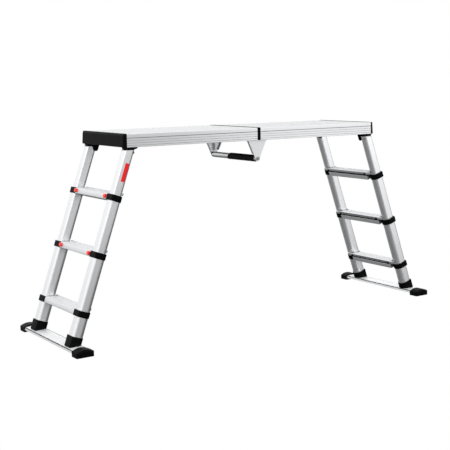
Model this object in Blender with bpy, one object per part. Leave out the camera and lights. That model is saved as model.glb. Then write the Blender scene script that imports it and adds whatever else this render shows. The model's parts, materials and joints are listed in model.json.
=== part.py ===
"""Folding work platform bench: a two-part deck on two telescopic ladder legs.

Metres, Z up.  X runs along the deck, -Y is the front.  The floor is z = 0 and the
deck top is z = HEIGHT.
"""

import bpy
import bmesh
import math
from mathutils import Vector
from mathutils.geometry import tessellate_polygon

for old in list(bpy.data.objects):
    bpy.data.objects.remove(old, do_unlink=True)

# ---- driving dimensions (metres) -------------------------------------------------
HEIGHT = 1.000           # floor to deck top
DECK_LENGTH = 1.566
DECK_WIDTH = 0.440
DECK_THICK = 0.065
STILE_SPACING = 0.395    # between the centre lines of a ladder's two stiles
FOOT_LENGTH = 0.668      # over the rubber ends of a foot bar
SPLAY = math.radians(19.6)
STILE_TOP_X = 0.716      # stile centre line at the height of the deck top
RUNG_HEIGHTS = (0.170, 0.4355, 0.699)

GAP = 0.0003             # between pieces that touch
SLIDE_GAP = 0.0003       # around one stile tube inside the next
BORE_GAP = 0.0003        # around a pin

# stile tubes: D shaped, flat side out
TUBE_WALL = 0.0020
TUBE_CORNER_R = 0.012
TUBE_DEPTH = 0.062       # lower tube, across the rung
TUBE_WIDTH = 0.054       # lower tube, along the rung
TUBE_NOSE_R = TUBE_WIDTH / 2    # full round on the inner side
TUBE_OVERLAP = 0.070     # length of a tube that stays inside the next one
ARC_CORNER = 5
ARC_NOSE = 15

COLLAR_HEIGHT = 0.030
COLLAR_WALL_DEPTH = 0.0035
COLLAR_WALL_WIDTH = 0.0060
COLLAR_CORNER_R = 0.0080
COLLAR_LIP = 0.0040      # ring over the end of a tube

RUNG_HEIGHT = 0.028
RUNG_DEPTH = 0.074
RUNG_FRONT = 0.031       # front face of the rung, out from the stile centre
RUNG_WALL = 0.0020
RUNG_RIBS = 9
RIB_HEIGHT = 0.0010
TREAD_RISE = 0.30        # slope of the tread, so that it lies nearly level
LIP_HEIGHT = 0.013       # inner edge of the tread
LIP_THICK = 0.0075
RECESS_DEPTH = 0.016     # slot under the inner edge
RECESS_HEIGHT = 0.012
BAND_SET_BACK = 0.007    # lower part of the rung, in from the lip
LIP_REACH = 0.002        # lip beyond the stile centre line
LIP_CORNER_R = 0.014

BUTTON_LENGTH = 0.020
BUTTON_HEIGHT = 0.019
BUTTON_DEPTH = 0.0090
BUTTON_FROM_COLLAR = 0.0010

FOOT_IN = 0.006084       # centre line of a foot bar, in from where the stiles meet the floor
FOOT_BAR_WIDTH = 0.080
FOOT_BAR_BASE = 0.011
FOOT_BAR_EDGE = 0.024
FOOT_BAR_CROWN = 0.028
FOOT_BAR_WALL = 0.0020
FOOT_CAP_LENGTH = 0.060
FOOT_CAP_FLOOR = 0.008
FOOT_CAP_SIDE = 0.0045
FOOT_CAP_EDGE = 0.025
FOOT_CAP_CROWN = 0.037

BOOT_WALL_DEPTH = 0.0030
BOOT_WALL_WIDTH = 0.0050
BOOT_FLOOR = 0.0060
BOOT_TOP = 0.072         # along the stile from the floor

DECK_WALL = 0.0020
DECK_SIDE_WALL = 0.0050
DECK_LANDS = 14
TREAD_GROOVE = 0.0030
TREAD_DEPTH = 0.0010
SIDE_GROOVES = ((0.33, 0.0035, 0.0030), (0.52, 0.0020, 0.0010),
                (0.69, 0.0020, 0.0010), (0.86, 0.0020, 0.0010))
CAP_PROUD = 0.0015       # caps stand above the tread
CAP_THICK = 0.020
INNER_CAP_THICK = 0.0092
CAP_SPIGOT = 0.018
CAP_SPIGOT_WALL = 0.0030
CAP_EDGE = 0.0040

PIN_DROP = 0.094         # hinge pin below the deck's underside
PIN_R = 0.0060
SPINDLE_R = 0.0150
GRIP_R = 0.0175
GRIP_FRONT = -0.190
GRIP_REAR = 0.045
GRIP_SLANT = 0.018
HINGE_PLATE = 0.0040
HINGE_PLATE_Y = 0.2070   # outer face of the outer hinge plates
HINGE_HALF = 0.058       # length of one half of the V under the deck
HINGE_LUG_R = 0.0135
HINGE_FLANGE = 0.011
BASE_PLATE = 0.0030

PIVOT_DROP = 0.025       # leg pivot below the deck's underside
PIVOT_IN = 0.018         # leg pivot in from the stile centre line
EAR_PLATE = 0.0040
EAR_R = 0.0130
EAR_BACK = 0.020         # ear length toward the middle of the deck
EAR_FRONT = 0.020
STILE_HEAD = 0.012       # stile top above the leg pivot
STUD_REACH = 0.0185      # stud end beyond the stile centre line

# ---- derived ----------------------------------------------------------------------
SIN, COS, TAN = math.sin(SPLAY), math.cos(SPLAY), math.tan(SPLAY)
UNDERSIDE = HEIGHT - DECK_THICK
GROUND_X = STILE_TOP_X + HEIGHT * TAN
RUNG_W = [h / COS for h in RUNG_HEIGHTS]
TUBE_STEP = TUBE_WALL + SLIDE_GAP
PIVOT_Z = UNDERSIDE - PIVOT_DROP
PIVOT_U = -PIVOT_IN
PIVOT_W = (PIVOT_Z - PIVOT_U * SIN) / COS
PIN_Z = UNDERSIDE - PIN_DROP
DECK_TOP = HEIGHT - CAP_PROUD
SIDES = (("left", -1), ("right", 1))
ENDS = (("front", -1), ("rear", 1))

FINISHES = {
    "aluminium": ((0.80, 0.81, 0.82), 0.35, 1.0),
    "dull_aluminium": ((0.62, 0.63, 0.64), 0.45, 1.0),
    "black_plastic": ((0.018, 0.018, 0.020), 0.45, 0.0),
    "black_rubber": ((0.020, 0.020, 0.021), 0.75, 0.0),
    "red_plastic": ((0.72, 0.02, 0.02), 0.35, 0.0),
    "steel": ((0.55, 0.56, 0.55), 0.35, 1.0),
}


def place(side, u, y, w):
    """Leg coordinates (out from the stile, along the rung, up the stile) to world."""
    return Vector((side * (GROUND_X + u * COS - w * SIN), y, u * SIN + w * COS))


def add_object(name, bm, finish, origin=(0.0, 0.0, 0.0)):
    """Make a named object from a bmesh, with its origin on the given point."""
    bmesh.ops.recalc_face_normals(bm, faces=bm.faces)
    bmesh.ops.translate(bm, verts=bm.verts, vec=-Vector(origin))
    mesh = bpy.data.meshes.new(name)
    bm.to_mesh(mesh)
    bm.free()
    obj = bpy.data.objects.new(name, mesh)
    obj.location = origin
    bpy.context.scene.collection.objects.link(obj)
    colour, rough, metal = FINISHES[finish]
    mat = bpy.data.materials.new(name + "_" + finish)
    mat.use_nodes = True
    shader = mat.node_tree.nodes["Principled BSDF"]
    shader.inputs["Base Color"].default_value = (*colour, 1.0)
    shader.inputs["Roughness"].default_value = rough
    shader.inputs["Metallic"].default_value = metal
    mesh.materials.append(mat)
    return obj


def loft(rings, closed=False):
    """Skin through rings of equal length; the ends are capped unless it is closed."""
    bm = bmesh.new()
    rows = [[bm.verts.new(p) for p in ring] for ring in rings]
    count = len(rows[0])
    pairs = list(zip(rows, rows[1:])) + ([(rows[-1], rows[0])] if closed else [])
    for low, high in pairs:
        for i in range(count):
            j = (i + 1) % count
            bm.faces.new((low[i], low[j], high[j], high[i]))
    if not closed:
        bm.faces.new(rows[0])
        bm.faces.new(rows[-1])
    return bm


def prism(loops, low, high):
    """Extrude a flat section with holes; low and high map a section point to world."""
    bm = bmesh.new()
    ends = []
    for lift in (low, high):
        ends.append([[bm.verts.new(lift(a, b)) for a, b in loop] for loop in loops])
    for near, far in zip(*ends):
        for i in range(len(near)):
            j = (i + 1) % len(near)
            bm.faces.new((near[i], near[j], far[j], far[i]))
    flat = [[Vector((a, b, 0.0)) for a, b in loop] for loop in loops]
    for end in ends:
        verts = [v for loop in end for v in loop]
        for tri in tessellate_polygon(flat):
            bm.faces.new([verts[k] for k in tri])
    return bm


def prism_xz(loops, y0, y1):
    """Extrude an (x, z) section from y0 to y1."""
    return prism(loops, lambda a, b: Vector((a, y0, b)), lambda a, b: Vector((a, y1, b)))


def prism_yz(loops, x0, x1):
    """Extrude a (y, z) section from x0 to x1."""
    return prism(loops, lambda a, b: Vector((x0, a, b)), lambda a, b: Vector((x1, a, b)))


def box(x0, x1, y0, y1, z0, z1):
    """A rectangular block."""
    return prism_xz([[(x0, z0), (x1, z0), (x1, z1), (x0, z1)]], y0, y1)


def circle(cx, cz, radius, count=20):
    """Points round a circle in a section."""
    return [(cx + radius * math.cos(2 * math.pi * i / count),
             cz + radius * math.sin(2 * math.pi * i / count)) for i in range(count)]


def combine(obj, operation, tools):
    """Join or cut an object with tool meshes and keep the result as its mesh."""
    for index, bm in enumerate(tools):
        bmesh.ops.recalc_face_normals(bm, faces=bm.faces)
        bmesh.ops.translate(bm, verts=bm.verts, vec=-obj.location)
        mesh = bpy.data.meshes.new(f"{obj.name}_tool{index}")
        bm.to_mesh(mesh)
        bm.free()
        tool = bpy.data.objects.new(mesh.name, mesh)
        tool.location = obj.location
        bpy.context.scene.collection.objects.link(tool)
        mod = obj.modifiers.new("boolean", "BOOLEAN")
        mod.operation = operation
        mod.solver = "EXACT"
        mod.object = tool
        graph = bpy.context.evaluated_depsgraph_get()
        made = bpy.data.meshes.new_from_object(obj.evaluated_get(graph))
        obj.modifiers.clear()
        obj.data = made
        bpy.data.objects.remove(tool, do_unlink=True)
    return obj


# ---- stiles -----------------------------------------------------------------------
def d_section(half_u, half_y, corner_r, nose_r):
    """A D-shaped outline (u, y): two corner arcs on the flat side and one big arc."""
    corner_u, corner_y, nose_u = half_u - corner_r, half_y - corner_r, nose_r - half_u
    flank = math.atan2(corner_y, corner_u - nose_u) + math.asin(
        (corner_r - nose_r) / math.hypot(corner_y, corner_u - nose_u))
    turn = math.pi / 2 + flank
    arcs = ((corner_u, corner_y, corner_r, 0.0, turn, ARC_CORNER),
            (nose_u, 0.0, nose_r, turn, 2 * math.pi - turn, ARC_NOSE),
            (corner_u, -corner_y, corner_r, 2 * math.pi - turn, 2 * math.pi, ARC_CORNER))
    points = []
    for cu, cy, radius, start, stop, count in arcs:
        for i in range(count):
            a = start + (stop - start) * i / (count - 1)
            points.append((cu + radius * math.cos(a), cy + radius * math.sin(a)))
    return points


def tube_section(inset):
    """The stile outline, moved in by an inset from the lower tube's outside."""
    return d_section(TUBE_DEPTH / 2 - inset, TUBE_WIDTH / 2 - inset, TUBE_CORNER_R - inset,
                     TUBE_NOSE_R - inset)


def round_section(inset, more_u, more_y, corner_r):
    """A D-shaped outline round a tube, larger by more_u in depth and more_y in width."""
    half_y = TUBE_WIDTH / 2 - inset + more_y
    return d_section(TUBE_DEPTH / 2 - inset + more_u, half_y, corner_r, half_y)


def ring(side, section, y, w):
    """A section across the stile at one distance up it."""
    return [place(side, u, y + v, w) for u, v in section]


def level_ring(side, section, y, z):
    """A section of the stile cut level with the floor."""
    return [place(side, u, y + v, (z - u * SIN) / COS) for u, v in section]


def inset_of(level):
    """Inset of a tube: 0 lower, 1 middle, 2 upper."""
    return level * TUBE_STEP


def tube(name, side, y, level, bottom, top, finish, origin):
    """A hollow stile between two ring makers."""
    outer, inner = tube_section(inset_of(level)), tube_section(inset_of(level) + TUBE_WALL)
    bm = loft([bottom(outer), top(outer), top(inner), bottom(inner)], closed=True)
    return add_object(name, bm, finish, origin)


def collar_rings(side, y, level, w_mid, over):
    """Rings of a collar; over is the smaller tube that its lip closes round, or None."""
    size = inset_of(level)
    bore = tube_section(size - GAP)
    low, high = w_mid - COLLAR_HEIGHT / 2, w_mid + COLLAR_HEIGHT / 2
    outside = round_section(size, COLLAR_WALL_DEPTH, COLLAR_WALL_WIDTH, COLLAR_CORNER_R)
    soft = round_section(size, COLLAR_WALL_DEPTH - 0.0015, COLLAR_WALL_WIDTH - 0.0015,
                         COLLAR_CORNER_R - 0.0015)
    rows = [(soft, low), (outside, low + 0.0015), (outside, high - 0.0015), (soft, high)]
    if over is None:
        rows += [(bore, high), (bore, low)]
    else:
        lip = tube_section(inset_of(over) - GAP)
        rows += [(lip, high), (lip, high - COLLAR_LIP), (bore, high - COLLAR_LIP), (bore, low)]
    return [ring(side, section, y, w) for section, w in rows]


def rung_section():
    """Outline (u, w) of a rung about its centre, ribbed on top, and its hollow."""
    front, back = RUNG_FRONT, RUNG_FRONT - RUNG_DEPTH
    half = RUNG_HEIGHT / 2
    band = back + BAND_SET_BACK

    def tread(u):
        return half + TREAD_RISE * (front - 0.003 - u)

    pitch = (RUNG_DEPTH - 0.012) / RUNG_RIBS
    outline = [(front, -half), (front, half - 0.003), (front - 0.003, tread(front - 0.003))]
    for i in range(RUNG_RIBS):
        a = front - 0.006 - i * pitch
        outline += [(a, tread(a)), (a - pitch * 0.2, tread(a - pitch * 0.2) + RIB_HEIGHT),
                    (a - pitch * 0.6, tread(a - pitch * 0.6) + RIB_HEIGHT),
                    (a - pitch * 0.8, tread(a - pitch * 0.8))]
    lip_top = tread(back + 0.002)
    lip_low = lip_top - LIP_HEIGHT
    outline += [(back + 0.002, lip_top), (back, lip_top - 0.002), (back, lip_low),
                (back + RECESS_DEPTH, lip_low), (back + RECESS_DEPTH, lip_low - RECESS_HEIGHT),
                (band, lip_low - RECESS_HEIGHT), (band, -half)]
    w0 = -half + RUNG_WALL
    hollow = [(front - RUNG_WALL, w0), (front - RUNG_WALL, half - RUNG_WALL - 0.003),
              (back + RECESS_DEPTH + RUNG_WALL, tread(back + RECESS_DEPTH + RUNG_WALL) - RUNG_WALL),
              (back + RECESS_DEPTH + RUNG_WALL, w0)]
    return [outline, hollow], lip_low, lip_top


def lip_block(side, w_mid, lip_low, lip_top):
    """The tread's inner edge, which runs on behind both stiles with rounded corners."""
    back = RUNG_FRONT - RUNG_DEPTH
    end = STILE_SPACING / 2 + LIP_REACH
    start = math.asin(1.0 - LIP_THICK / LIP_CORNER_R)
    corner = []
    for i in range(5):
        a = start + (math.pi / 2 - start) * i / 4
        corner.append((back + LIP_CORNER_R - LIP_CORNER_R * math.sin(a),
                       end - LIP_CORNER_R + LIP_CORNER_R * math.cos(a)))
    plan = corner + [(u, -y) for u, y in reversed(corner)]
    return prism([plan], lambda u, y: place(side, u, y, w_mid + lip_low + 0.0004),
                 lambda u, y: place(side, u, y, w_mid + lip_top - 0.0004))


def make_leg(word, side):
    """One telescopic ladder leg, with its foot bar."""
    half = STILE_SPACING / 2
    pivot = place(side, PIVOT_U, 0.0, PIVOT_W)
    bar_top = FOOT_BAR_CROWN
    boot_base = bar_top + GAP
    socket = boot_base + BOOT_FLOOR
    levels = {"upper": 2, "middle": 1, "lower": 0}

    for end, sign in ENDS:
        y = sign * half
        # upper tube: bored for the leg pivot
        bottom_w = RUNG_W[2] - TUBE_OVERLAP
        upper = tube(f"{word}_upper_stile_{end}", side, y, 2,
                     lambda s: ring(side, s, y, bottom_w),
                     lambda s: level_ring(side, s, y, PIVOT_Z + STILE_HEAD),
                     "aluminium", pivot)
        bore = prism_xz([circle(pivot.x, PIVOT_Z, PIN_R + BORE_GAP)], y - 0.05, y + 0.05)
        combine(upper, "DIFFERENCE", [bore])
        # middle tube
        low_w, top_w = RUNG_W[1] - TUBE_OVERLAP, RUNG_W[2] + COLLAR_HEIGHT / 2 - COLLAR_LIP - GAP
        tube(f"{word}_middle_stile_{end}", side, y, 1,
             lambda s: ring(side, s, y, low_w), lambda s: ring(side, s, y, top_w),
             "aluminium", place(side, 0, y, RUNG_W[2]))
        # lower tube
        head_w = RUNG_W[1] + COLLAR_HEIGHT / 2 - COLLAR_LIP - GAP
        tube(f"{word}_lower_stile_{end}", side, y, 0,
             lambda s: level_ring(side, s, y, socket + GAP),
             lambda s: ring(side, s, y, head_w),
             "aluminium", place(side, 0, y, RUNG_W[1]))
        for number, level, over in ((3, 1, 2), (2, 0, 1), (1, 0, None)):
            rows = collar_rings(side, y, level, RUNG_W[number - 1], over)
            add_object(f"{word}_collar_{number}_{end}", loft(rows, closed=True),
                       "black_plastic", place(side, 0, y, RUNG_W[number - 1]))
        # boot: a socket with a level sole
        bore = tube_section(-GAP)
        shell = round_section(0.0, BOOT_WALL_DEPTH, BOOT_WALL_WIDTH, 0.006)
        sole = [(u * 0.97, v * 0.97) for u, v in shell]
        rows = [level_ring(side, sole, y, boot_base),
                level_ring(side, shell, y, boot_base + 0.002),
                ring(side, shell, y, BOOT_TOP), ring(side, bore, y, BOOT_TOP),
                level_ring(side, bore, y, socket)]
        add_object(f"{word}_boot_{end}", loft(rows), "black_plastic",
                   place(side, 0, y, BOOT_TOP))

    section, lip_low, lip_top = rung_section()
    for number in (1, 2, 3):
        level = levels["middle"] if number == 3 else levels["lower"]
        collar_half = TUBE_WIDTH / 2 - inset_of(level) + COLLAR_WALL_WIDTH
        reach = half - collar_half - GAP
        w_mid = RUNG_W[number - 1]
        shape = prism(section, lambda a, b: place(side, a, -reach, w_mid + b),
                      lambda a, b: place(side, a, reach, w_mid + b))
        rung = add_object(f"{word}_rung_{number}", shape, "aluminium", place(side, 0, 0, w_mid))
        combine(rung, "UNION", [lip_block(side, w_mid, lip_low, lip_top)])
        if number == 1:
            continue
        for end, sign in ENDS:
            face = RUNG_FRONT + GAP
            y_out = sign * (reach - BUTTON_FROM_COLLAR)
            y_in = y_out - sign * BUTTON_LENGTH
            rows = []
            for depth, shrink in ((0.0, 0.0), (BUTTON_DEPTH - 0.0015, 0.0), (BUTTON_DEPTH, 0.0015)):
                h = BUTTON_HEIGHT / 2 - shrink
                ya, yb = y_out - sign * shrink, y_in + sign * shrink
                rows.append([place(side, face + depth, y, w_mid + w)
                             for y, w in ((ya, -h), (ya, h), (yb, h), (yb, -h))])
            add_object(f"{word}_button_{number}_{end}", loft(rows), "red_plastic",
                       place(side, face, (y_out + y_in) / 2, w_mid))
    make_foot(word, side)


def foot_outline(half, base, edge, crown, count=9):
    """A flat-bottomed, arched section (x, z) about x = 0."""
    arch = []
    for i in range(count):
        t = 1.0 - 2.0 * i / (count - 1)
        arch.append((half * t, edge + (crown - edge) * (1.0 - t * t)))
    return [(-half, base), (half, base)] + arch


def make_foot(word, side):
    """The bar across the bottom of a leg, with a rubber end at each end."""
    x = side * (GROUND_X - FOOT_IN)
    half = FOOT_BAR_WIDTH / 2
    reach = FOOT_LENGTH / 2 - FOOT_CAP_FLOOR - GAP
    outline = foot_outline(half, FOOT_BAR_BASE, FOOT_BAR_EDGE, FOOT_BAR_CROWN)
    hollow = foot_outline(half - FOOT_BAR_WALL, FOOT_BAR_BASE + FOOT_BAR_WALL,
                          FOOT_BAR_EDGE - FOOT_BAR_WALL, FOOT_BAR_CROWN - FOOT_BAR_WALL)
    loops = [[(x + a, b) for a, b in loop] for loop in (outline, hollow)]
    add_object(f"{word}_foot_bar", prism_xz(loops, -reach, reach), "aluminium",
               (x, 0.0, FOOT_BAR_BASE))
    socket = foot_outline(half + GAP, FOOT_BAR_BASE - GAP, FOOT_BAR_EDGE + GAP,
                          FOOT_BAR_CROWN + GAP)
    wide = half + FOOT_CAP_SIDE
    skin = foot_outline(wide, 0.0, FOOT_CAP_EDGE, FOOT_CAP_CROWN)
    round_off = foot_outline(wide - 0.006, 0.0, FOOT_CAP_EDGE - 0.006, FOOT_CAP_CROWN - 0.005)
    for end, sign in ENDS:
        tip = sign * FOOT_LENGTH / 2
        mouth = tip - sign * FOOT_CAP_LENGTH
        floor = tip - sign * FOOT_CAP_FLOOR
        rows = [(round_off, tip), (skin, tip - sign * 0.006), (skin, mouth),
                (socket, mouth), (socket, floor)]
        bm = loft([[Vector((x + a, y, b)) for a, b in loop] for loop, y in rows])
        add_object(f"{word}_foot_cap_{end}", bm, "black_rubber", (x, tip, 0.0))


# ---- deck -------------------------------------------------------------------------
def rounded_rect(half_y, z0, z1, radius, count=4):
    """A rectangle (y, z) with rounded corners."""
    points = []
    corners = ((half_y - radius, z1 - radius, 0.0), (-half_y + radius, z1 - radius, 0.5),
               (-half_y + radius, z0 + radius, 1.0), (half_y - radius, z0 + radius, 1.5))
    for cy, cz, start in corners:
        for i in range(count):
            a = math.pi * (start + 0.5 * i / (count - 1))
            points.append((cy + radius * math.cos(a), cz + radius * math.sin(a)))
    return points


def deck_outline():
    """The deck's outside (y, z): grooved tread, ribbed side faces."""
    half = DECK_WIDTH / 2
    edge = 0.003
    points = [(-half + edge, DECK_TOP), (-half, DECK_TOP - edge)]
    for part, width, depth in SIDE_GROOVES:
        z = HEIGHT - part * DECK_THICK
        points += [(-half, z + width / 2), (-half + depth, z + width / 2),
                   (-half + depth, z - width / 2), (-half, z - width / 2)]
    points += [(-half, UNDERSIDE)]
    points += [(-y, z) for y, z in reversed(points)]
    pitch = (DECK_WIDTH - 0.020) / DECK_LANDS
    for i in range(DECK_LANDS + 1):
        y = half - 0.010 - i * pitch
        points += [(y + TREAD_GROOVE / 2, DECK_TOP), (y + TREAD_GROOVE / 4, DECK_TOP - TREAD_DEPTH),
                   (y - TREAD_GROOVE / 4, DECK_TOP - TREAD_DEPTH), (y - TREAD_GROOVE / 2, DECK_TOP)]
    return points


def deck_cap(name, side, face, back, finish):
    """A plug for one end of a deck panel; face is its outer x, back its inner x."""
    half = DECK_WIDTH / 2
    cell = (half - DECK_SIDE_WALL, UNDERSIDE + DECK_WALL, DECK_TOP - DECK_WALL - TREAD_DEPTH)
    inward = math.copysign(1.0, back - face)
    edge = min(CAP_EDGE, abs(back - face) / 3)
    flush = rounded_rect(half, UNDERSIDE, HEIGHT, 0.003)
    soft = rounded_rect(half - edge, UNDERSIDE + edge, HEIGHT - edge, 0.003)
    plug = rounded_rect(cell[0] - GAP, cell[1] + GAP, cell[2] - GAP, 0.002)
    thin = rounded_rect(cell[0] - GAP - CAP_SPIGOT_WALL, cell[1] + GAP + CAP_SPIGOT_WALL,
                        cell[2] - GAP - CAP_SPIGOT_WALL, 0.002)
    tip = back + inward * CAP_SPIGOT
    rows = [(soft, face), (flush, face + inward * edge), (flush, back), (plug, back),
            (plug, tip), (thin, tip), (thin, back)]
    bm = loft([[Vector((x, y, z)) for y, z in loop] for loop, x in rows])
    add_object(name, bm, finish, (face, 0.0, HEIGHT))


def make_deck(word, side):
    """One half of the deck with its two end caps."""
    middle = side * (GAP / 2)
    seam = side * (GAP / 2 + INNER_CAP_THICK)
    shoulder = side * (DECK_LENGTH / 2 - CAP_THICK)
    end = side * DECK_LENGTH / 2
    cell = rounded_rect(DECK_WIDTH / 2 - DECK_SIDE_WALL, UNDERSIDE + DECK_WALL,
                        DECK_TOP - DECK_WALL - TREAD_DEPTH, 0.002)
    origin = (0.0, 0.0, PIN_Z) if side > 0 else (0.0, 0.0, HEIGHT)
    add_object(f"{word}_deck_panel",
               prism_yz([deck_outline(), cell], seam + side * GAP, shoulder - side * GAP),
               "aluminium", origin)
    deck_cap(f"{word}_end_cap", side, end, shoulder, "black_plastic")
    deck_cap(f"{word}_joint_cap", side, middle, seam, "black_plastic")


# ---- middle hinge -----------------------------------------------------------------
def make_hinge_bracket(word, side):
    """A base plate and two hanging triangular plates, one body."""
    top = UNDERSIDE - GAP
    outer = HINGE_PLATE_Y - (0.0 if side < 0 else HINGE_PLATE + GAP)
    near, far = side * 0.0004, side * HINGE_HALF
    base = box(near, far, -outer, outer, top - BASE_PLATE, top)
    obj = add_object(f"{word}_hinge_bracket", base, "dull_aluminium",
                     (0.0, 0.0, PIN_Z))
    # triangle with a round lug: from the far top corner, round the pin, to the middle
    lean = math.atan2(HINGE_HALF, PIN_DROP - GAP)
    span = math.hypot(HINGE_HALF, PIN_DROP - GAP)
    lug = []
    count = 14
    first, last = -(math.acos(HINGE_LUG_R / span) - (math.pi / 2 - lean)), -math.pi
    for i in range(count):
        a = first + (last - first) * i / (count - 1)
        lug.append((side * HINGE_LUG_R * math.cos(a), PIN_Z + HINGE_LUG_R * math.sin(a)))
    rise = [(-side * HINGE_LUG_R, PIN_Z), (-side * HINGE_LUG_R * 0.8, PIN_Z + HINGE_LUG_R * 0.6),
            (near, PIN_Z + HINGE_LUG_R * 1.15)]
    outline = [(far, top)] + lug + rise[1:] + [(near, top)]
    hole = circle(0.0, PIN_Z, PIN_R + BORE_GAP)
    slant = Vector((far - lug[0][0], 0.0, top - lug[0][1])).normalized()
    inner = Vector((-slant.z * side, 0.0, slant.x * side))
    tools = []
    for end, sign in ENDS:
        face, rear = sign * outer, sign * (outer - HINGE_PLATE)
        tools.append(prism_xz([outline, hole], face, rear))
        lip = sign * (outer - HINGE_PLATE - HINGE_FLANGE)
        keep = PIN_Z + HINGE_LUG_R + 0.010
        tools.append(box(near, near + side * BASE_PLATE, sign * (outer - 0.001), lip, keep, top - 0.001))
        t = (keep - lug[0][1]) / slant.z
        a = (lug[0][0] + slant.x * t, lug[0][1] + slant.z * t)
        reach = (top - 0.001 - lug[0][1]) / slant.z
        b = (lug[0][0] + slant.x * reach, lug[0][1] + slant.z * reach)
        shift = -side * BASE_PLATE / slant.z
        tools.append(prism_xz([[a, b, (b[0] + shift, b[1]), (a[0] + shift, a[1])]],
                              sign * (outer - 0.001), lip))
    combine(obj, "UNION", tools)


def make_handle():
    """The hinge spindle that is also the carrying bar, and its grip."""
    body = HINGE_PLATE_Y - 2 * HINGE_PLATE - 2 * GAP
    stub = HINGE_PLATE_Y + 0.0015
    rows = []
    for y, radius in ((-stub, PIN_R), (-body, PIN_R), (-body, SPINDLE_R), (body, SPINDLE_R),
                      (body, PIN_R), (stub, PIN_R)):
        rows.append([Vector((x, y, z)) for x, z in circle(0.0, PIN_Z, radius, 24)])
    add_object("hinge_spindle", loft(rows), "steel", (0.0, 0.0, PIN_Z))
    rings = []
    for radius, rear in ((GRIP_R, False), (GRIP_R, True), (SPINDLE_R + GAP, True),
                         (SPINDLE_R + GAP, False)):
        ring_points = []
        for x, z in circle(0.0, PIN_Z, radius, 24):
            shift = GRIP_SLANT * (PIN_Z - z) / (2 * GRIP_R) if rear else 0.0
            ring_points.append(Vector((x, (GRIP_REAR if rear else GRIP_FRONT) + shift, z)))
        rings.append(ring_points)
    add_object("handle_grip", loft(rings, closed=True), "black_rubber", (0.0, 0.0, PIN_Z))


# ---- leg brackets -----------------------------------------------------------------
def make_leg_bracket(word, side):
    """A plate under the deck with an ear and a stud for each stile, one body."""
    pivot = place(side, PIVOT_U, 0.0, PIVOT_W)
    top = UNDERSIDE - GAP
    half = STILE_SPACING / 2
    flank = TUBE_WIDTH / 2 - inset_of(2)
    ear_out = half - flank - GAP
    x0, x1 = pivot.x - side * EAR_BACK, pivot.x + side * EAR_FRONT
    base = box(x0, x1, -ear_out, ear_out, top - BASE_PLATE, top)
    obj = add_object(f"{word}_leg_bracket", base, "dull_aluminium", (pivot.x, 0.0, top))
    lug = []
    for i in range(12):
        a = -math.radians(155.0) + math.radians(155.0) * i / 11
        lug.append((pivot.x + side * EAR_R * math.cos(a), PIVOT_Z + EAR_R * math.sin(a)))
    outline = [(x0, top), (x0, top - 0.006)] + lug + [(x1, top - 0.004), (x1, top)]
    tools = []
    for end, sign in ENDS:
        tools.append(prism_xz([outline], sign * ear_out, sign * (ear_out - EAR_PLATE)))
        tools.append(prism_xz([circle(pivot.x, PIVOT_Z, PIN_R)], sign * (ear_out - 0.002),
                              sign * (half + STUD_REACH)))
    combine(obj, "UNION", tools)


for word, side in SIDES:
    make_deck(word, side)
    make_hinge_bracket(word, side)
    make_leg_bracket(word, side)
    make_leg(word, side)
make_handle()
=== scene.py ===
"""Folding work platform bench, dressed in its real finishes.

The deck is two aluminium panels hinged at mid-span over a carrying bar.  Each end
stands on a splayed telescopic ladder leg with a rubber-ended foot bar.
Metres; X runs along the deck, -Y is the front, Z is up.
"""

import json
import logging
import math
from dataclasses import dataclass, field
from enum import Enum

import bmesh
import bpy
import numpy as np
from mathutils import Matrix, Vector
from mathutils.geometry import tessellate_polygon

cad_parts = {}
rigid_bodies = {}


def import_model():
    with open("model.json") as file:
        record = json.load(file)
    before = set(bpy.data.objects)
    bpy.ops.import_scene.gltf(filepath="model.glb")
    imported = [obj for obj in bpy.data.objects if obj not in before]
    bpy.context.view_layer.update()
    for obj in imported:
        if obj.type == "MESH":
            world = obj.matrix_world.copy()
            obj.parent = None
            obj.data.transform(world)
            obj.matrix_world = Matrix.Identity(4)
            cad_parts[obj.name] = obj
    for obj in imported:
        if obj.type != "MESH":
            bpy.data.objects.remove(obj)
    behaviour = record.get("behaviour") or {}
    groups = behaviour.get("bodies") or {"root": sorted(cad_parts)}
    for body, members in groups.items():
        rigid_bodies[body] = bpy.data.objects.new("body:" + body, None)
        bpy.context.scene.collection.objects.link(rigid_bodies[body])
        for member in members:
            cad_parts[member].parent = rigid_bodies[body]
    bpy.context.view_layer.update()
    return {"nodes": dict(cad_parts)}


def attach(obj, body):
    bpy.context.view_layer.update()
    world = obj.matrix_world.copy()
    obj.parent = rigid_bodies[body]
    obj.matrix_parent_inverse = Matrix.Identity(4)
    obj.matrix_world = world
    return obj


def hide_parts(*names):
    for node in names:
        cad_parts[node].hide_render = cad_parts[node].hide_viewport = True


LOG = logging.getLogger("platform_bench")

# ---- sizes shared by the pieces (metres) ---------------------------------------------
HEIGHT, DECK_LENGTH, DECK_WIDTH, DECK_THICK = 1.000, 1.566, 0.440, 0.065
DECK_TOP = HEIGHT - 0.0015
JOINT_CAP_THICK = 0.0092
STILE_SPACING, FOOT_LENGTH = 0.395, 0.668
SPLAY = math.radians(19.6)
SIN, COS, TAN = math.sin(SPLAY), math.cos(SPLAY), math.tan(SPLAY)
GROUND_X = 0.716 + HEIGHT * TAN
RUNG_W = tuple(h / COS for h in (0.170, 0.4355, 0.699))
GAP = 0.0003
TUBE_WALL, TUBE_STEP = 0.0020, 0.0023
TUBE_DEPTH, TUBE_WIDTH = 0.062, 0.054
UNDERSIDE = HEIGHT - DECK_THICK
PIVOT_Z = UNDERSIDE - 0.025
PIVOT_W = (PIVOT_Z + 0.018 * SIN) / COS
PIN_Z = UNDERSIDE - 0.094
COLLAR_HEIGHT, COLLAR_MORE_U, COLLAR_MORE_Y = 0.030, 0.0035, 0.0060
RUNG_HEIGHT, RUNG_DEPTH, RUNG_FRONT, TREAD_RISE = 0.028, 0.074, 0.031, 0.30
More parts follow.
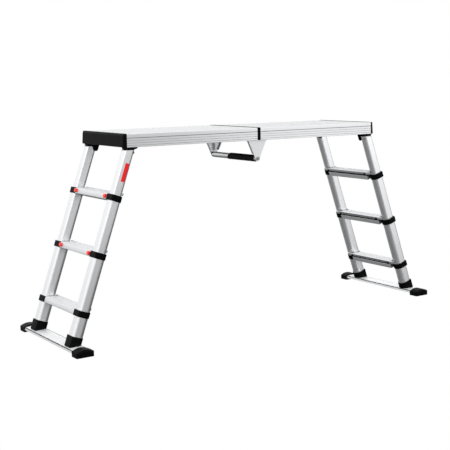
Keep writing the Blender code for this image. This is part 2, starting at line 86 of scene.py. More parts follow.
LIP_HEIGHT, RECESS_DEPTH, RECESS_HEIGHT, BAND_SET_BACK = 0.013, 0.016, 0.012, 0.007
FOOT_X = 1.066
SIDES = (("left", -1), ("right", 1))
ENDS = (("front", -1), ("rear", 1))


class Level(Enum):
    """Which telescoping tube: the value is how many tubes it sits inside."""

    LOWER = 0
    MIDDLE = 1
    UPPER = 2

    @property
    def inset(self) -> float:
        """Distance from the lower tube's outside in to this tube's outside."""
        return self.value * TUBE_STEP


# ---- finishes ------------------------------------------------------------------------
def linear(hex_colour: str) -> tuple[float, float, float, float]:
    """Turn an sRGB hex colour into a linear RGBA colour.

    Args:
        hex_colour: six hex digits, red first.
    Returns:
        The linear colour with alpha 1.
    """
    parts = [int(hex_colour[i:i + 2], 16) / 255.0 for i in (0, 2, 4)]
    return (*[c / 12.92 if c <= 0.04045 else ((c + 0.055) / 1.055) ** 2.4 for c in parts], 1.0)


@dataclass(frozen=True)
class Finish:
    """A surface finish made of shader nodes on the piece's own UV, in metres.

    grain is the noise frequency (per metre) across and along the piece.
    """

    name: str
    colour: str
    roughness: float
    metallic: float = 0.0
    grain: tuple[float, float] = (400.0, 400.0)
    bump: float = 0.0
    rough_spread: float = 0.0
    tone_spread: float = 0.0
    coat: float = 0.0
    sheen_level: float = 0.5

    def material(self) -> bpy.types.Material:
        """Build the material, or return it if it is already made.

        Returns:
            The node material for this finish.
        """
        found = bpy.data.materials.get(self.name)
        if found:
            return found
        mat = bpy.data.materials.new(self.name)
        mat.use_nodes = True
        tree = mat.node_tree
        shader = tree.nodes["Principled BSDF"]
        shader.inputs["Base Color"].default_value = linear(self.colour)
        shader.inputs["Roughness"].default_value = self.roughness
        shader.inputs["Metallic"].default_value = self.metallic
        shader.inputs["Coat Weight"].default_value = self.coat
        shader.inputs["Specular IOR Level"].default_value = self.sheen_level
        coords = tree.nodes.new("ShaderNodeUVMap")
        coords.uv_map = "metres"
        scale = tree.nodes.new("ShaderNodeMapping")
        scale.inputs["Scale"].default_value = (*self.grain, 1.0)
        noise = tree.nodes.new("ShaderNodeTexNoise")
        noise.inputs["Scale"].default_value = 1.0
        noise.inputs["Detail"].default_value = 3.0
        tree.links.new(coords.outputs["UV"], scale.inputs["Vector"])
        tree.links.new(scale.outputs["Vector"], noise.inputs["Vector"])
        if self.bump:
            bump = tree.nodes.new("ShaderNodeBump")
            bump.inputs["Strength"].default_value = self.bump
            bump.inputs["Distance"].default_value = 0.0004
            tree.links.new(noise.outputs["Fac"], bump.inputs["Height"])
            tree.links.new(bump.outputs["Normal"], shader.inputs["Normal"])
        if self.rough_spread:
            spread = tree.nodes.new("ShaderNodeMapRange")
            spread.inputs["To Min"].default_value = self.roughness - self.rough_spread
            spread.inputs["To Max"].default_value = self.roughness + self.rough_spread
            tree.links.new(noise.outputs["Fac"], spread.inputs["Value"])
            tree.links.new(spread.outputs["Result"], shader.inputs["Roughness"])
        if self.tone_spread:
            tone = tree.nodes.new("ShaderNodeMix")
            tone.data_type = "RGBA"
            base = linear(self.colour)
            low = tuple(c * (1.0 - self.tone_spread) for c in base[:3])
            tone.inputs["A"].default_value = (*low, 1.0)
            tone.inputs["B"].default_value = base
            tree.links.new(noise.outputs["Fac"], tone.inputs["Factor"])
            tree.links.new(tone.outputs["Result"], shader.inputs["Base Color"])
        return mat


EXTRUDED = Finish("aluminium_extruded_satin", "d6d7d8", 0.38, 0.92, (2600.0, 9.0), 0.10, 0.05, 0.05)
# painted shade: a darker grey for the deck's groove faces, standing in for the shade inside the grooves
GROOVE_PAINTED_SHADE = Finish("aluminium_extruded_groove", "8a8c8e", 0.60, 0.6, (2600.0, 9.0), 0.10, 0.05, 0.10)
STILE = Finish("aluminium_tube_anodised", "e6e7e9", 0.35, 0.95, (2200.0, 6.0), 0.06, 0.04, 0.04)
TREAD = Finish("aluminium_tread_ribbed", "dadbdd", 0.40, 0.9, (1500.0, 40.0), 0.25, 0.08, 0.06)
PRESSED = Finish("aluminium_sheet_mill", "d3d4d5", 0.40, 0.9, (500.0, 500.0), 0.06, 0.05, 0.05)
BAR = Finish("aluminium_bar_anodised", "eeeff0", 0.50, 0.45, (1200.0, 12.0), 0.06, 0.05, 0.03)
STEEL = Finish("steel_zinc_plated", "8d918b", 0.38, 1.0, (900.0, 900.0), 0.08, 0.05, 0.08)
PLASTIC = Finish("polyamide_black_fine_texture", "09090a", 0.34, 0.0, (1800.0, 1800.0), 0.10, 0.05,
                 sheen_level=0.03)
RUBBER = Finish("rubber_black_matt", "08080a", 0.42, 0.0, (1200.0, 1200.0), 0.16, 0.06,
                sheen_level=0.03)
GRIP = Finish("foam_rubber_grip_black", "0c0c0d", 0.62, 0.0, (1500.0, 1500.0), 0.30, 0.05,
              sheen_level=0.08)
RED = Finish("acetal_red_gloss", "f2180e", 0.30, 0.0, (700.0, 700.0), 0.03, 0.03, coat=0.3)
LABEL = Finish("vinyl_label_red", "e8161b", 0.42, 0.0, (900.0, 900.0), 0.02, 0.03, sheen_level=0.3)


# ---- surfaces ------------------------------------------------------------------------
@dataclass
class Surface:
    """Faces with one UV (metres) at each corner."""

    verts: np.ndarray
    faces: list[np.ndarray] = field(default_factory=list)
    uvs: list[np.ndarray] = field(default_factory=list)

    def joined(self, *others: "Surface") -> "Surface":
        """Put other surfaces after this one.

        Args:
            others: the surfaces to add.
        Returns:
            One surface that holds them all.
        """
        verts, faces, uvs = [self.verts], list(self.faces), list(self.uvs)
        start = len(self.verts)
        for other in others:
            verts.append(other.verts)
            faces += [f + start for f in other.faces]
            uvs += other.uvs
            start += len(other.verts)
        return Surface(np.concatenate(verts), faces, uvs)


def arc_length(points: np.ndarray) -> np.ndarray:
    """Distance along a closed loop at each point, with the full length at the end."""
    steps = np.linalg.norm(np.roll(points, -1, axis=0) - points, axis=1)
    return np.concatenate([[0.0], np.cumsum(steps)])


def loft(rings: list[np.ndarray], closed: bool = False) -> Surface:
    """Skin through rings of equal length.

    Args:
        rings: (n, 3) arrays, one for each ring.
        closed: join the last ring to the first; otherwise the two ends are capped.
    Returns:
        The surface; U follows the ring, V the way from ring to ring.
    """
    stack = np.array(rings, dtype=float)
    count, size = stack.shape[:2]
    around = arc_length(stack[0])
    gaps = np.linalg.norm(np.roll(stack, -1, axis=0) - stack, axis=2).mean(axis=1)
    along = np.concatenate([[0.0], np.cumsum(gaps)])
    k, i = np.meshgrid(np.arange(count if closed else count - 1), np.arange(size), indexing="ij")
    k, i = k.ravel(), i.ravel()
    k2, i2 = (k + 1) % count, (i + 1) % size
    quads = np.stack([k * size + i, k * size + i2, k2 * size + i2, k2 * size + i], axis=1)
    uv = np.stack([np.stack([around[i], along[k]], 1), np.stack([around[i + 1], along[k]], 1),
                   np.stack([around[i + 1], along[k + 1]], 1),
                   np.stack([around[i], along[k + 1]], 1)], axis=1)
    surface = Surface(stack.reshape(-1, 3), [quads], [uv])
    if not closed:
        for row in (0, count - 1):
            ring = stack[row]
            centre = ring.mean(axis=0)
            axis_a = ring[0] - centre
            axis_a /= np.linalg.norm(axis_a)
            normal = np.cross(ring[0] - centre, ring[size // 4] - centre)
            axis_b = np.cross(normal / np.linalg.norm(normal), axis_a)
            flat = np.stack([(ring - centre) @ axis_a, (ring - centre) @ axis_b], axis=1)
            surface.faces.append((np.arange(size) + row * size)[None, :])
            surface.uvs.append(flat[None, :, :])
    return surface


def prism(loops: list[np.ndarray], low, high) -> Surface:
    """Extrude a flat section with holes.

    Args:
        loops: the outline and its holes, (n, 2) arrays.
        low: maps section points (n, 2) to the first end, (n, 3).
        high: the same for the other end.
    Returns:
        The closed surface; U follows the section, V the length.
    """
    verts, faces, uvs, start = [], [], [], 0
    length = float(np.linalg.norm(high(loops[0][:1]) - low(loops[0][:1])))
    for loop in loops:
        size = len(loop)
        verts += [low(loop), high(loop)]
        i = np.arange(size)
        j = (i + 1) % size
        faces.append(np.stack([start + i, start + j, start + size + j, start + size + i], 1))
        s = arc_length(loop)
        near = np.stack([s[i], np.zeros(size)], 1), np.stack([s[i + 1], np.zeros(size)], 1)
        far = np.stack([s[i + 1], np.full(size, length)], 1), np.stack([s[i], np.full(size, length)], 1)
        uvs.append(np.stack([*near, *far], axis=1))
        start += 2 * size
    tris = np.array(tessellate_polygon([[Vector((*p, 0.0)) for p in loop] for loop in loops]))
    flat = np.concatenate(loops)
    sizes = np.array([len(loop) for loop in loops])
    base = np.repeat(np.concatenate([[0], np.cumsum(2 * sizes)[:-1]]), sizes)
    local = np.concatenate([np.arange(n) for n in sizes])
    lows = base + local
    highs = lows + np.repeat(sizes, sizes)
    faces += [lows[tris], highs[tris]]
    uvs += [flat[tris], flat[tris]]
    return Surface(np.concatenate(verts), faces, uvs)


def make_object(name: str, surface: Surface, finish: Finish, body: str,
                replaces: tuple[str, ...] = (), bevel: float = 0.0006,
                shaded: tuple[Finish, np.ndarray] | None = None) -> bpy.types.Object:
    """Make a finished piece that rides on a body of the frame.

    Args:
        name: the object's name.
        surface: its faces.
        finish: its finish.
        body: the body it moves with.
        replaces: the frame nodes that it stands for.
        bevel: width of the rounding on its sharp edges, or 0.
        shaded: a second, darker finish that paints shade on some faces, and the indices of the faces that
            have it.
    Returns:
        The object, at the origin.
    """
    mesh = bpy.data.meshes.new(name)
    sizes = np.concatenate([np.full(len(f), f.shape[1]) for f in surface.faces])
    corners = np.concatenate([f.ravel() for f in surface.faces]).astype(np.int32)
    mesh.vertices.add(len(surface.verts))
    mesh.vertices.foreach_set("co", surface.verts.astype(np.float32).ravel())
    mesh.loops.add(len(corners))
    mesh.loops.foreach_set("vertex_index", corners)
    mesh.polygons.add(len(sizes))
    starts = np.concatenate([[0], np.cumsum(sizes)[:-1]]).astype(np.int32)
    mesh.polygons.foreach_set("loop_start", starts)
    layer = mesh.uv_layers.new(name="metres")
    layer.data.foreach_set("uv", np.concatenate([u.reshape(-1, 2) for u in surface.uvs])
                           .astype(np.float32).ravel())
    mesh.update(calc_edges=True)
    mesh.validate()
    work = bmesh.new()
    work.from_mesh(mesh)
    bmesh.ops.recalc_face_normals(work, faces=work.faces)
    work.to_mesh(mesh)
    work.free()
    mesh.polygons.foreach_set("use_smooth", np.ones(len(mesh.polygons), dtype=bool))
    mesh.set_sharp_from_angle(angle=math.radians(32.0))
    mesh.materials.append(finish.material())
    # the listed faces get the second, darker finish as painted shade
    if shaded:
        mesh.materials.append(shaded[0].material())
        index = np.zeros(len(mesh.polygons), dtype=np.int32)
        index[shaded[1]] = 1
        mesh.polygons.foreach_set("material_index", index)
    obj = bpy.data.objects.new(name, mesh)
    bpy.context.scene.collection.objects.link(obj)
    if bevel:
        mod = obj.modifiers.new("edge rounding", "BEVEL")
        mod.width, mod.segments, mod.limit_method = bevel, 2, "ANGLE"
        mod.angle_limit = math.radians(34.0)
        mod.harden_normals = True
    else:
        obj.modifiers.new("face weighted normals", "WEIGHTED_NORMAL").keep_sharp = True
    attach(obj, body)
    if replaces:
        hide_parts(*replaces)
    return obj


# ---- sections ------------------------------------------------------------------------
def d_section(half_u: float, half_y: float, corner_r: float, nose_r: float,
              corner_points: int = 9, nose_points: int = 33) -> np.ndarray:
    """A D-shaped outline: two corner arcs on the flat side, joined by one big inner arc.

    Straight runs join the arcs where their tangents meet.

    Args:
        half_u: half its depth.
        half_y: half its width.
        corner_r: radius of the corner arcs.
        nose_r: radius of the inner arc.
        corner_points: points on each corner arc.
        nose_points: points on the inner arc.
    Returns:
        (n, 2) points: out from the stile centre, and along the rung.
    """
    cu, cy, nu = half_u - corner_r, half_y - corner_r, nose_r - half_u
    flank = math.atan2(cy, cu - nu) + math.asin((corner_r - nose_r) / math.hypot(cy, cu - nu))
    turn = math.pi / 2 + flank
    parts = []
    for u, y, radius, start, stop, count in (
            (cu, cy, corner_r, 0.0, turn, corner_points),
            (nu, 0.0, nose_r, turn, 2 * math.pi - turn, nose_points),
            (cu, -cy, corner_r, 2 * math.pi - turn, 2 * math.pi, corner_points)):
        a = np.linspace(start, stop, count)
        parts.append(np.stack([u + radius * np.cos(a), y + radius * np.sin(a)], 1))
    return np.concatenate(parts)


def tube_section(inset: float) -> np.ndarray:
    """Outline of a stile, parallel to the lower tube's outside at an inset."""
    return d_section(TUBE_DEPTH / 2 - inset, TUBE_WIDTH / 2 - inset, 0.012 - inset, 0.027 - inset)


def round_section(inset: float, more_u: float, more_y: float, corner_r: float) -> np.ndarray:
    """Outline round a tube, larger by more_u in depth and more_y in width."""
    half_y = TUBE_WIDTH / 2 - inset + more_y
    return d_section(TUBE_DEPTH / 2 - inset + more_u, half_y, corner_r, half_y)


def circle(radius: float, count: int = 40) -> np.ndarray:
    """Points round a circle about the origin."""
    a = np.linspace(0.0, 2 * math.pi, count, endpoint=False)
    return np.stack([radius * np.cos(a), radius * np.sin(a)], 1)


def rounded_rect(half_y: float, z0: float, z1: float, radius: float, count: int = 7) -> np.ndarray:
    """A rectangle (y, z) with rounded corners."""
    parts = []
    for cy, cz, start in ((half_y - radius, z1 - radius, 0.0), (-half_y + radius, z1 - radius, 0.5),
                          (-half_y + radius, z0 + radius, 1.0), (half_y - radius, z0 + radius, 1.5)):
        a = math.pi * (start + 0.5 * np.linspace(0.0, 1.0, count))
        parts.append(np.stack([cy + radius * np.cos(a), cz + radius * np.sin(a)], 1))
    return np.concatenate(parts)


def arched_section(half: float, base: float, edge: float, crown: float, count: int = 25) -> np.ndarray:
    """A flat-bottomed section (x, z) whose top is edge + (crown - edge)(1 - t^2)."""
    t = np.linspace(1.0, -1.0, count)
    arch = np.stack([half * t, edge + (crown - edge) * (1.0 - t * t)], 1)
    return np.concatenate([[[-half, base], [half, base]], arch])


# ---- one leg -------------------------------------------------------------------------
@dataclass(frozen=True)
class LegFrame:
    """Leg coordinates: u out from the stile, y across the deck, w up the stile."""

    side: int

    def place(self, u, y, w) -> np.ndarray:
        """World points of leg coordinates (arrays or numbers).

        Args:
            u: distance out from the stile centre.
            y: distance across the deck.
            w: distance up the stile from the floor.
        Returns:
            (n, 3) world points.
        """
        u, y, w = np.broadcast_arrays(np.asarray(u, float), np.asarray(y, float), np.asarray(w, float))
        return np.stack([self.side * (GROUND_X + u * COS - w * SIN), y, u * SIN + w * COS], axis=-1)

    def ring(self, section: np.ndarray, y: float, w: float) -> np.ndarray:
        """A section square to the stile."""
        return self.place(section[:, 0], y + section[:, 1], w)

    def level_ring(self, section: np.ndarray, y: float, z: float) -> np.ndarray:
        """A section of the stile that is level with the floor."""
        return self.place(section[:, 0], y + section[:, 1], (z - section[:, 0] * SIN) / COS)


@dataclass(frozen=True)
class Stile:
    """The three telescoping tubes, collars, head and boot at one end of the rungs."""

    word: str
    end: str
    leg: LegFrame
    y: float

    def tube(self, level: Level) -> None:
        """Build one hollow tube."""
        outer, inner = tube_section(level.inset), tube_section(level.inset + TUBE_WALL)
        leg, y = self.leg, self.y
        if level is Level.UPPER:
            ends = (lambda s: leg.ring(s, y, RUNG_W[2] - 0.070),
                    lambda s: leg.level_ring(s, y, PIVOT_Z + 0.012))
        elif level is Level.MIDDLE:
            ends = (lambda s: leg.ring(s, y, RUNG_W[1] - 0.070),
                    lambda s: leg.ring(s, y, RUNG_W[2] + 0.0107))
        else:
            ends = (lambda s: leg.level_ring(s, y, 0.0346), lambda s: leg.ring(s, y, RUNG_W[1] + 0.0107))
        low, high = ends
        rings = [low(outer), high(outer), high(inner), low(inner)]
        name = f"{self.word}_{level.name.lower()}_stile_{self.end}"
        make_object("look_" + name, loft(rings, closed=True), STILE,
                    f"{self.word}_{level.name.lower()}", (name,), 0.0)

    def collar(self, number: int, level: Level, over: Level | None) -> None:
        """Build the black collar at a rung, with its waist and its lip."""
        bore = tube_section(level.inset - GAP)
        w0, w1 = RUNG_W[number - 1] - COLLAR_HEIGHT / 2, RUNG_W[number - 1] + COLLAR_HEIGHT / 2
        profile = ((w0, 0.0016), (w0 + 0.0006, 0.0005), (w0 + 0.0018, 0.0), (w0 + 0.0065, 0.0),
                   (w0 + 0.0071, 0.0006), (w0 + 0.0077, 0.0), (w1 - 0.0018, 0.0),
                   (w1 - 0.0006, 0.0005), (w1, 0.0018))
        rings = [self.leg.ring(round_section(level.inset, COLLAR_MORE_U - inset, COLLAR_MORE_Y - inset,
                                             0.008 - inset), self.y, w) for w, inset in profile]
        if over is None:
            rings += [self.leg.ring(bore, self.y, w1), self.leg.ring(bore, self.y, w0)]
        else:
            lip = tube_section(over.inset - GAP)
            rings += [self.leg.ring(lip, self.y, w1), self.leg.ring(lip, self.y, w1 - 0.004),
                      self.leg.ring(bore, self.y, w1 - 0.004), self.leg.ring(bore, self.y, w0)]
        name = f"{self.word}_collar_{number}_{self.end}"
        make_object("look_" + name, loft(rings, closed=True), PLASTIC,
                    f"{self.word}_{level.name.lower()}", (name,), 0.0)

    def boot(self) -> None:
        """Build the black boot that the stile stands in."""
        bore = tube_section(-GAP)
        shell = round_section(0.0, 0.0030, 0.0050, 0.006)
        leg, y = self.leg, self.y
        rings = [leg.level_ring(shell * 0.97, y, 0.0283), leg.level_ring(shell, y, 0.0303),
                 leg.ring(shell, y, 0.0700), leg.ring(shell * 0.985, y, 0.0720),
                 leg.ring(bore, y, 0.0720), leg.level_ring(bore, y, 0.0343)]
        name = f"{self.word}_boot_{self.end}"
        make_object("look_" + name, loft(rings), PLASTIC, f"{self.word}_lower", (name,))

    def head(self) -> None:
        """Build the black plug in the stile's top and the head of its pivot bolt."""
        leg, y = self.leg, self.y
        inside = tube_section(Level.UPPER.inset + TUBE_WALL + GAP)
        rim = tube_section(Level.UPPER.inset - 0.0004)
        top = PIVOT_Z + 0.0123
        rings = [leg.level_ring(inside, y, top - 0.014), leg.level_ring(inside, y, top),
                 leg.level_ring(rim, y, top), leg.level_ring(rim * 0.98, y, top + 0.0020)]
        make_object(f"{self.word}_stile_plug_{self.end}", loft(rings), PLASTIC, f"{self.word}_upper")
        pivot = leg.place(-0.018, 0.0, PIVOT_W)
        side = float(leg.side)
        wedge = np.array([[pivot[0] + side * 0.040, UNDERSIDE - 0.0004],
                          [pivot[0] - side * 0.024, UNDERSIDE - 0.0004],
                          [pivot[0] - side * 0.023, UNDERSIDE - 0.0045],
                          [pivot[0] - side * 0.012, UNDERSIDE - 0.0098],
                          [pivot[0] + side * 0.037, UNDERSIDE - 0.0098]])
        out = -1.0 if self.y < 0 else 1.0
        y0, y1 = self.y - out * 0.0218, self.y + out * 0.0215
        block = prism([wedge], lambda p: np.stack([p[:, 0], np.full(len(p), y0), p[:, 1]], 1),
                      lambda p: np.stack([p[:, 0], np.full(len(p), y1), p[:, 1]], 1))
        make_object(f"{self.word}_head_block_{self.end}", block, PLASTIC, f"{self.word}_deck", (), 0.0015)
        flank = self.y + out * 0.0172
        rows = [(flank - out * 0.004, 0.0068), (flank + out * 0.0005, 0.0068),
                (flank + out * 0.0018, 0.0056), (flank + out * 0.0018, 0.0030),
                (flank + out * 0.0008, 0.0028)]
        rings = [np.array([[pivot[0] + a, yy, PIVOT_Z + b] for a, b in circle(r, 24)]) for yy, r in rows]
        make_object(f"{self.word}_pivot_bolt_{self.end}", loft(rings), STEEL, f"{self.word}_deck", (), 0.0)

    def build(self) -> None:
        """Build every piece of the stile."""
        for level in Level:
            self.tube(level)
        self.collar(3, Level.MIDDLE, Level.UPPER)
        self.collar(2, Level.LOWER, Level.MIDDLE)
        self.collar(1, Level.LOWER, None)
        self.boot()
        self.head()


@dataclass(frozen=True)
class Rung:
    """A hollow ribbed rung with its lock buttons."""

    word: str
    number: int
    leg: LegFrame

    @property
    def level(self) -> Level:
        """The tube that carries the rung."""
        return Level.MIDDLE if self.number == 3 else Level.LOWER

    @property
    def reach(self) -> float:
        """Half the length of the rung between its collars."""
        return STILE_SPACING / 2 - (TUBE_WIDTH / 2 - self.level.inset + COLLAR_MORE_Y) - GAP

    def tread(self, u):
        """Height of the tread at u: it rises inward at TREAD_RISE, so that it lies nearly level."""
        return RUNG_HEIGHT / 2 + TREAD_RISE * (RUNG_FRONT - 0.003 - u)

    def section(self) -> list[np.ndarray]:
        """Outline and hollow (u, w) about the rung's centre."""
        front, back, half = RUNG_FRONT, RUNG_FRONT - RUNG_DEPTH, RUNG_HEIGHT / 2
        ribs = 12
        pitch = (RUNG_DEPTH - 0.012) / ribs
        points = [(front - 0.0030, -half), (front - 0.0009, -half + 0.0009), (front, -half + 0.0030),
                  (front, half - 0.003),
                  (front - 0.0009, half - 0.0009), (front - 0.003, half)]
        for i in range(ribs):
            a = front - 0.006 - i * pitch
            points += [(u, self.tread(u) + rise) for u, rise in
                       ((a, 0.0), (a - pitch * 0.15, 0.001), (a - pitch * 0.55, 0.001),
                        (a - pitch * 0.70, 0.0))]
        top = self.tread(back + 0.002)
        low = top - LIP_HEIGHT
        points += [(back + 0.002, top), (back + 0.0006, top - 0.0006), (back, top - 0.002),
                   (back, low + 0.001), (back + 0.001, low), (back + RECESS_DEPTH, low),
                   (back + RECESS_DEPTH, low - RECESS_HEIGHT),
                   (back + BAND_SET_BACK + 0.001, low - RECESS_HEIGHT),
                   (back + BAND_SET_BACK, low - RECESS_HEIGHT - 0.001),
                   (back + BAND_SET_BACK, -half)]
        inner = back + RECESS_DEPTH + 0.002
        hollow = [(front - 0.002, -half + 0.002), (front - 0.002, half - 0.005),
                  (inner, self.tread(inner) - 0.002), (inner, -half + 0.002)]
        return [np.array(points), np.array(hollow)]

    def lip(self, w_mid: float) -> Surface:
        """The tread's inner edge, run on behind both stiles with rounded corners."""
        back, end, radius = RUNG_FRONT - RUNG_DEPTH, STILE_SPACING / 2 + 0.002, 0.014
        a = np.linspace(math.asin(1.0 - 0.0075 / radius), math.pi / 2, 8)
        corner = np.stack([back + radius - radius * np.sin(a), end - radius + radius * np.cos(a)], 1)
        plan = np.concatenate([corner, corner[::-1] * (1.0, -1.0)])
        top = self.tread(back + 0.002)
        return prism([plan], lambda p: self.leg.place(p[:, 0], p[:, 1], w_mid + top - LIP_HEIGHT + 0.0002),
                     lambda p: self.leg.place(p[:, 0], p[:, 1], w_mid + top + 0.0002))

    def build(self) -> None:
        """Build the rung and, above the lowest one, its buttons."""
        w_mid, reach = RUNG_W[self.number - 1], self.reach
        name = f"{self.word}_rung_{self.number}"
        body = f"{self.word}_{self.level.name.lower()}"
        section = self.section()
        surface = prism(section, lambda p: self.leg.place(p[:, 0], -reach, w_mid + p[:, 1]),
                        lambda p: self.leg.place(p[:, 0], reach, w_mid + p[:, 1]))
        count = len(section[0])
        # painted shade: the lip's underside, the recess's back wall and the band's top are drawn in black
        # plastic, standing in for the shade under the tread's lip
        recess_shade_faces = np.arange(count - 6, count - 3)
        make_object("look_" + name, surface, TREAD, body, (name,), 0.0003, (PLASTIC, recess_shade_faces))
        make_object(f"look_{name}_lip", self.lip(w_mid), TREAD, body, (), 0.0012)
        for end, sign in ENDS:
            self.stop(end, sign, w_mid)
            if self.number > 1:
                self.button(end, sign, w_mid)

    def stop(self, end: str, sign: int, w_mid: float) -> None:
        """Build the small black stop at one end of the tread's inner edge."""
        back = RUNG_FRONT - RUNG_DEPTH
        low = w_mid + self.tread(back + 0.002) - LIP_HEIGHT
        middle = sign * (self.reach - 0.010)
        rings = []
        for depth, shrink in ((0.010, 0.0), (0.0002, 0.0), (-0.0006, 0.0008), (-0.0009, 0.0022)):
            section = rounded_rect(0.009 - shrink, -0.004 + shrink, 0.007 - shrink, 0.002, 5)
            rings.append(self.leg.place(back + depth, middle + section[:, 0], low + section[:, 1]))
        make_object(f"{self.word}_rung_{self.number}_stop_{end}", loft(rings), PLASTIC,
                    f"{self.word}_{self.level.name.lower()}", (), 0.0)

    def button(self, end: str, sign: int, w_mid: float) -> None:
        """Build one red lock button."""
        face = RUNG_FRONT + GAP
        outer = sign * (self.reach - 0.001)
        inner = outer - sign * 0.020
        rows = ((0.0, 0.0), (0.0058, 0.0), (0.0078, 0.0010), (0.0087, 0.0026), (0.0090, 0.0045))
        rings = []
        for depth, shrink in rows:
            section = rounded_rect(0.010 - shrink, -0.0095 + shrink, 0.0095 - shrink, 0.0045, 6)
            rings.append(self.leg.place(face + depth, (outer + inner) / 2 + section[:, 0],
                                        w_mid + section[:, 1]))
        name = f"{self.word}_button_{self.number}_{end}"
        make_object("look_" + name, loft(rings), RED, name, (name,), 0.0)


@dataclass(frozen=True)
class Foot:
    """The bar across the bottom of a leg, with its two rubber ends."""

    word: str
    side: int

    def build(self) -> None:
        """Build the bar and both ends."""
        x, half = self.side * FOOT_X, 0.040
        outline = arched_section(half, 0.011, 0.024, 0.028)
        hollow = arched_section(half - 0.002, 0.013, 0.022, 0.026)
        reach = FOOT_LENGTH / 2 - 0.0083
        bar = prism([outline, hollow],
                    lambda p: np.stack([x + p[:, 0], np.full(len(p), -reach), p[:, 1]], 1),
                    lambda p: np.stack([x + p[:, 0], np.full(len(p), reach), p[:, 1]], 1))
        make_object(f"look_{self.word}_foot_bar", bar, BAR, f"{self.word}_lower",
                    (f"{self.word}_foot_bar",), 0.0008)
        # painted shade: a thin black strip along each long top edge of the bar stands in for the shade at
        # its rounded edge
        for edge, sign in (("outer", self.side), ("inner", -self.side)):
            line = np.array([[half - 0.0016, 0.0218], [half + 0.0003, 0.0218], [half + 0.0003, 0.0238],
                             [half - 0.0040, 0.0253], [half - 0.0050, 0.0240]])
            shade_strip = prism([line], lambda p: np.stack([x + sign * p[:, 0], np.full(len(p), -reach + 0.05),
                                                      p[:, 1]], 1),
                          lambda p: np.stack([x + sign * p[:, 0], np.full(len(p), reach - 0.05),
                                              p[:, 1]], 1))
            make_object(f"{self.word}_foot_bar_line_{edge}", shade_strip, RUBBER, f"{self.word}_lower", (), 0.0)
        socket = arched_section(half + GAP, 0.011 - GAP, 0.024 + GAP, 0.028 + GAP)
        wide = half + 0.0045
        for end, sign in ENDS:
            tip = sign * FOOT_LENGTH / 2
            rows = [(arched_section(wide - 0.009, 0.002, 0.015, 0.027), tip),
                    (arched_section(wide - 0.0045, 0.0006, 0.0205, 0.0325), tip - sign * 0.0022),
                    (arched_section(wide - 0.0015, 0.0, 0.0235, 0.0355), tip - sign * 0.0055),
                    (arched_section(wide, 0.0, 0.025, 0.037), tip - sign * 0.010),
                    (arched_section(wide, 0.0, 0.025, 0.037), tip - sign * 0.058),
                    (arched_section(wide - 0.0015, 0.0, 0.0235, 0.0355), tip - sign * 0.060),
                    (socket, tip - sign * 0.060), (socket, tip - sign * 0.008)]
            rings = [np.stack([x + s[:, 0], np.full(len(s), y), s[:, 1]], 1) for s, y in rows]
            name = f"{self.word}_foot_cap_{end}"
            make_object("look_" + name, loft(rings), RUBBER, f"{self.word}_lower", (name,), 0.0)


@dataclass(frozen=True)
class Leg:
    """One telescopic ladder leg."""

    word: str
    side: int

    def build(self) -> None:
        """Build stiles, rungs and foot."""
        leg = LegFrame(self.side)
        for end, sign in ENDS:
            Stile(self.word, end, leg, sign * STILE_SPACING / 2).build()
        for number in (1, 2, 3):
            Rung(self.word, number, leg).build()
        Foot(self.word, self.side).build()
        if self.side < 0:
            self.label(leg)

    def label(self, leg: LegFrame) -> None:
        """Build the plain red label on the front of the front upper stile."""
        skin = tube_section(Level.UPPER.inset)
        count = len(skin)
        edge = 0.5 * (skin[count - 10] + skin[count - 9])
        flank = np.concatenate([skin[count - 15:count - 9], edge[None, :]])
        outward = flank / np.linalg.norm(flank, axis=1, keepdims=True)
        y = -STILE_SPACING / 2
        rings = []
        for w in (RUNG_W[2] + 0.083, RUNG_W[2] + 0.173):
            rings.append((leg.ring(flank + outward * 0.00004, y, w),
                          leg.ring(flank + outward * 0.00016, y, w)))
        low = np.concatenate([rings[0][0], rings[0][1][::-1]])
        high = np.concatenate([rings[1][0], rings[1][1][::-1]])
        make_object("plain_red_label", loft([low, high]), LABEL, "left_upper", (), 0.0)


